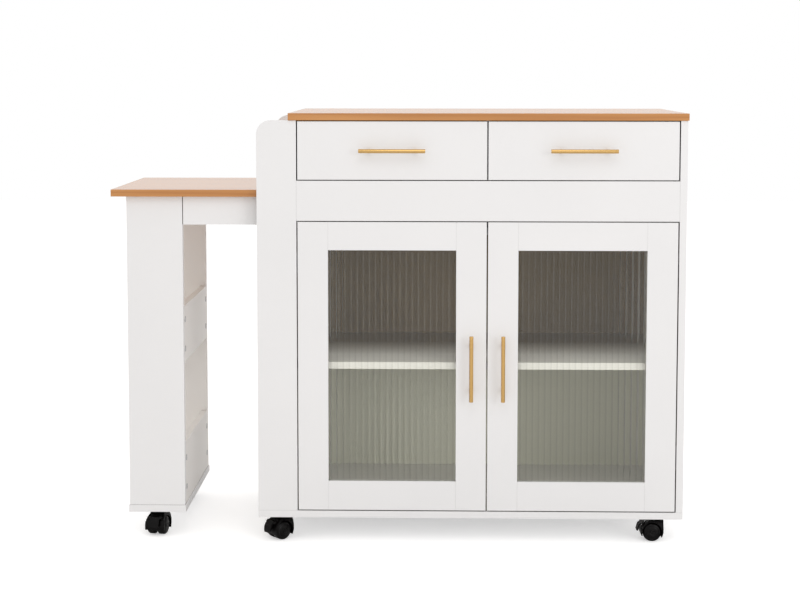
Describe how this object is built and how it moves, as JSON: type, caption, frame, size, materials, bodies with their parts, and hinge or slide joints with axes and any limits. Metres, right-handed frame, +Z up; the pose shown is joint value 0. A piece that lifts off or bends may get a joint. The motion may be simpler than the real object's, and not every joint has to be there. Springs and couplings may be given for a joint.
{
  "type": "kitchen island cart",
  "caption": "White kitchen island on casters with an oak worktop, drawers, reeded glass doors, an open end rack and a pull-out side table on a narrow shelf leg.",
  "frame": {"origin": "on the floor, below the middle of the whole object's bounding box with the side table part way out", "axes": "+X to the right seen from the front, towards the cabinet's closed end; +Y to the back; +Z up; the doors and drawers face -Y and the side table slides out towards -X"},
  "size_m": [1.22, 0.475, 0.917],
  "materials": {
    "oak": "oak-look laminated board, satin, fine straight grain along X",
    "white_board": "white lacquered board, smooth satin",
    "glass": "clear glass, upright reeds on the inner face",
    "brass": "satin brass-coloured metal",
    "steel": "zinc-plated steel",
    "black_nylon": "black moulded nylon, semi-matt",
    "wheel": "black hard wheel, semi-matt",
    "glide": "pale slippery plastic"
  },
  "bodies": {
    "cabinet": {"countertop": "oak", "left_side_panels": "white_board", "right_side_panel": "white_board", "bottom_board": "white_board", "back_panel": "white_board", "upper_divider": "white_board", "lower_divider": "white_board", "drawer_partition": "white_board", "fascia_panel": "white_board", "inner_shelf": "white_board", "shelf_supports": "steel", "rack_front_panel": "white_board", "rack_back_panel": "white_board", "rack_shelves": "white_board", "door_hinge_arms": "steel", "drawer_slide_rails": "steel", "table_guide_rails": "white_board", "cabinet_caster_plates": "black_nylon"},
    "left_door": {"left_door_frame": "white_board", "left_door_glass": "glass", "left_door_handle": "brass", "left_door_hinge_cups": "steel"},
    "right_door": {"right_door_frame": "white_board", "right_door_glass": "glass", "right_door_handle": "brass", "right_door_hinge_cups": "steel"},
    "left_drawer": {"left_drawer_front": "white_board", "left_drawer_box": "white_board", "left_drawer_runners": "steel", "left_drawer_handle": "brass"},
    "right_drawer": {"right_drawer_front": "white_board", "right_drawer_box": "white_board", "right_drawer_runners": "steel", "right_drawer_handle": "brass"},
    "side_table": {"tabletop": "oak", "table_aprons": "white_board", "table_cross_rails": "white_board", "table_glides": "glide", "leg_front_panel": "white_board", "leg_back_panel": "white_board", "leg_bottom_board": "white_board", "leg_guard_rails": "white_board", "leg_shelf": "white_board", "leg_caster_plates": "black_nylon"},
    "hood_front_left": {"caster_front_left_hood": "black_nylon"},
    "wheels_front_left": {"caster_front_left_wheels": "wheel"},
    "brake_front_left": {"caster_front_left_brake": "black_nylon"},
    "hood_front_right": {"caster_front_right_hood": "black_nylon"},
    "wheels_front_right": {"caster_front_right_wheels": "wheel"},
    "brake_front_right": {"caster_front_right_brake": "black_nylon"},
    "hood_back_left": {"caster_back_left_hood": "black_nylon"},
    "wheels_back_left": {"caster_back_left_wheels": "wheel"},
    "hood_back_right": {"caster_back_right_hood": "black_nylon"},
    "wheels_back_right": {"caster_back_right_wheels": "wheel"},
    "hood_leg_front": {"caster_leg_front_hood": "black_nylon"},
    "wheels_leg_front": {"caster_leg_front_wheels": "wheel"},
    "brake_leg_front": {"caster_leg_front_brake": "black_nylon"},
    "hood_leg_back": {"caster_leg_back_hood": "black_nylon"},
    "wheels_leg_back": {"caster_leg_back_wheels": "wheel"}
  },
  "joints": [
    {"name": "left_door_hinge", "type": "hinge", "parent": "cabinet", "child": "left_door", "pos_m": [-0.2035, -0.2045, 0.379], "axis": [0, 0, -1], "range_deg": [0, 100]},
    {"name": "right_door_hinge", "type": "hinge", "parent": "cabinet", "child": "right_door", "pos_m": [0.5835, -0.2045, 0.379], "axis": [0, 0, 1], "range_deg": [0, 100]},
    {"name": "left_drawer_slide", "type": "slide", "parent": "cabinet", "child": "left_drawer", "axis": [0, -1, 0], "range_m": [0, 0.28]},
    {"name": "right_drawer_slide", "type": "slide", "parent": "cabinet", "child": "right_drawer", "axis": [0, -1, 0], "range_m": [0, 0.28]},
    {"name": "side_table_slide", "type": "slide", "parent": "cabinet", "child": "side_table", "axis": [-1, 0, 0], "range_m": [-0.16, 0.3]},
    {"name": "front_left_swivel", "type": "hinge", "parent": "cabinet", "child": "hood_front_left", "pos_m": [-0.247, -0.1735, 0.0497], "axis": [0, 0, 1], "continuous": true},
    {"name": "front_left_roll", "type": "hinge", "parent": "hood_front_left", "child": "wheels_front_left", "pos_m": [-0.25592, -0.18153, 0.02], "axis": [-0.6691, 0.7431, 0], "continuous": true},
    {"name": "front_left_brake_pedal", "type": "hinge", "parent": "hood_front_left", "child": "brake_front_left", "pos_m": [-0.27035, -0.19453, 0.03876], "axis": [0.6691, -0.7431, 0], "range_deg": [0, 12]},
    {"name": "front_right_swivel", "type": "hinge", "parent": "cabinet", "child": "hood_front_right", "pos_m": [0.558, -0.1735, 0.0497], "axis": [0, 0, 1], "continuous": true},
    {"name": "front_right_roll", "type": "hinge", "parent": "hood_front_right", "child": "wheels_front_right", "pos_m": [0.546, -0.1735, 0.02], "axis": [0, 1, 0], "continuous": true},
    {"name": "front_right_brake_pedal", "type": "hinge", "parent": "hood_front_right", "child": "brake_front_right", "pos_m": [0.52658, -0.1735, 0.03876], "axis": [0, -1, 0], "range_deg": [0, 12]},
    {"name": "back_left_swivel", "type": "hinge", "parent": "cabinet", "child": "hood_back_left", "pos_m": [-0.247, 0.1945, 0.0497], "axis": [0, 0, 1], "continuous": true},
    {"name": "back_left_roll", "type": "hinge", "parent": "hood_back_left", "child": "wheels_back_left", "pos_m": [-0.25828, 0.1986, 0.02], "axis": [0.342, 0.9397, 0], "continuous": true},
    {"name": "back_right_swivel", "type": "hinge", "parent": "cabinet", "child": "hood_back_right", "pos_m": [0.558, 0.1945, 0.0497], "axis": [0, 0, 1], "continuous": true},
    {"name": "back_right_roll", "type": "hinge", "parent": "hood_back_right", "child": "wheels_back_right", "pos_m": [0.56959, 0.19139, 0.02], "axis": [-0.2588, -0.9659, 0], "continuous": true},
    {"name": "leg_front_swivel", "type": "hinge", "parent": "side_table", "child": "hood_leg_front", "pos_m": [-0.52, -0.1415, 0.0497], "axis": [0, 0, 1], "continuous": true},
    {"name": "leg_front_roll", "type": "hinge", "parent": "hood_leg_front", "child": "wheels_leg_front", "pos_m": [-0.52208, -0.15332, 0.02], "axis": [-0.9848, 0.1736, 0], "continuous": true},
    {"name": "leg_front_brake_pedal", "type": "hinge", "parent": "hood_leg_front", "child": "brake_leg_front", "pos_m": [-0.52546, -0.17244, 0.03876], "axis": [0.9848, -0.1736, 0], "range_deg": [0, 12]},
    {"name": "leg_back_swivel", "type": "hinge", "parent": "side_table", "child": "hood_leg_back", "pos_m": [-0.52, 0.1625, 0.0497], "axis": [0, 0, 1], "continuous": true},
    {"name": "leg_back_roll", "type": "hinge", "parent": "hood_leg_back", "child": "wheels_leg_back", "pos_m": [-0.51689, 0.15091, 0.02], "axis": [-0.9659, -0.2588, 0], "continuous": true}
  ]
}
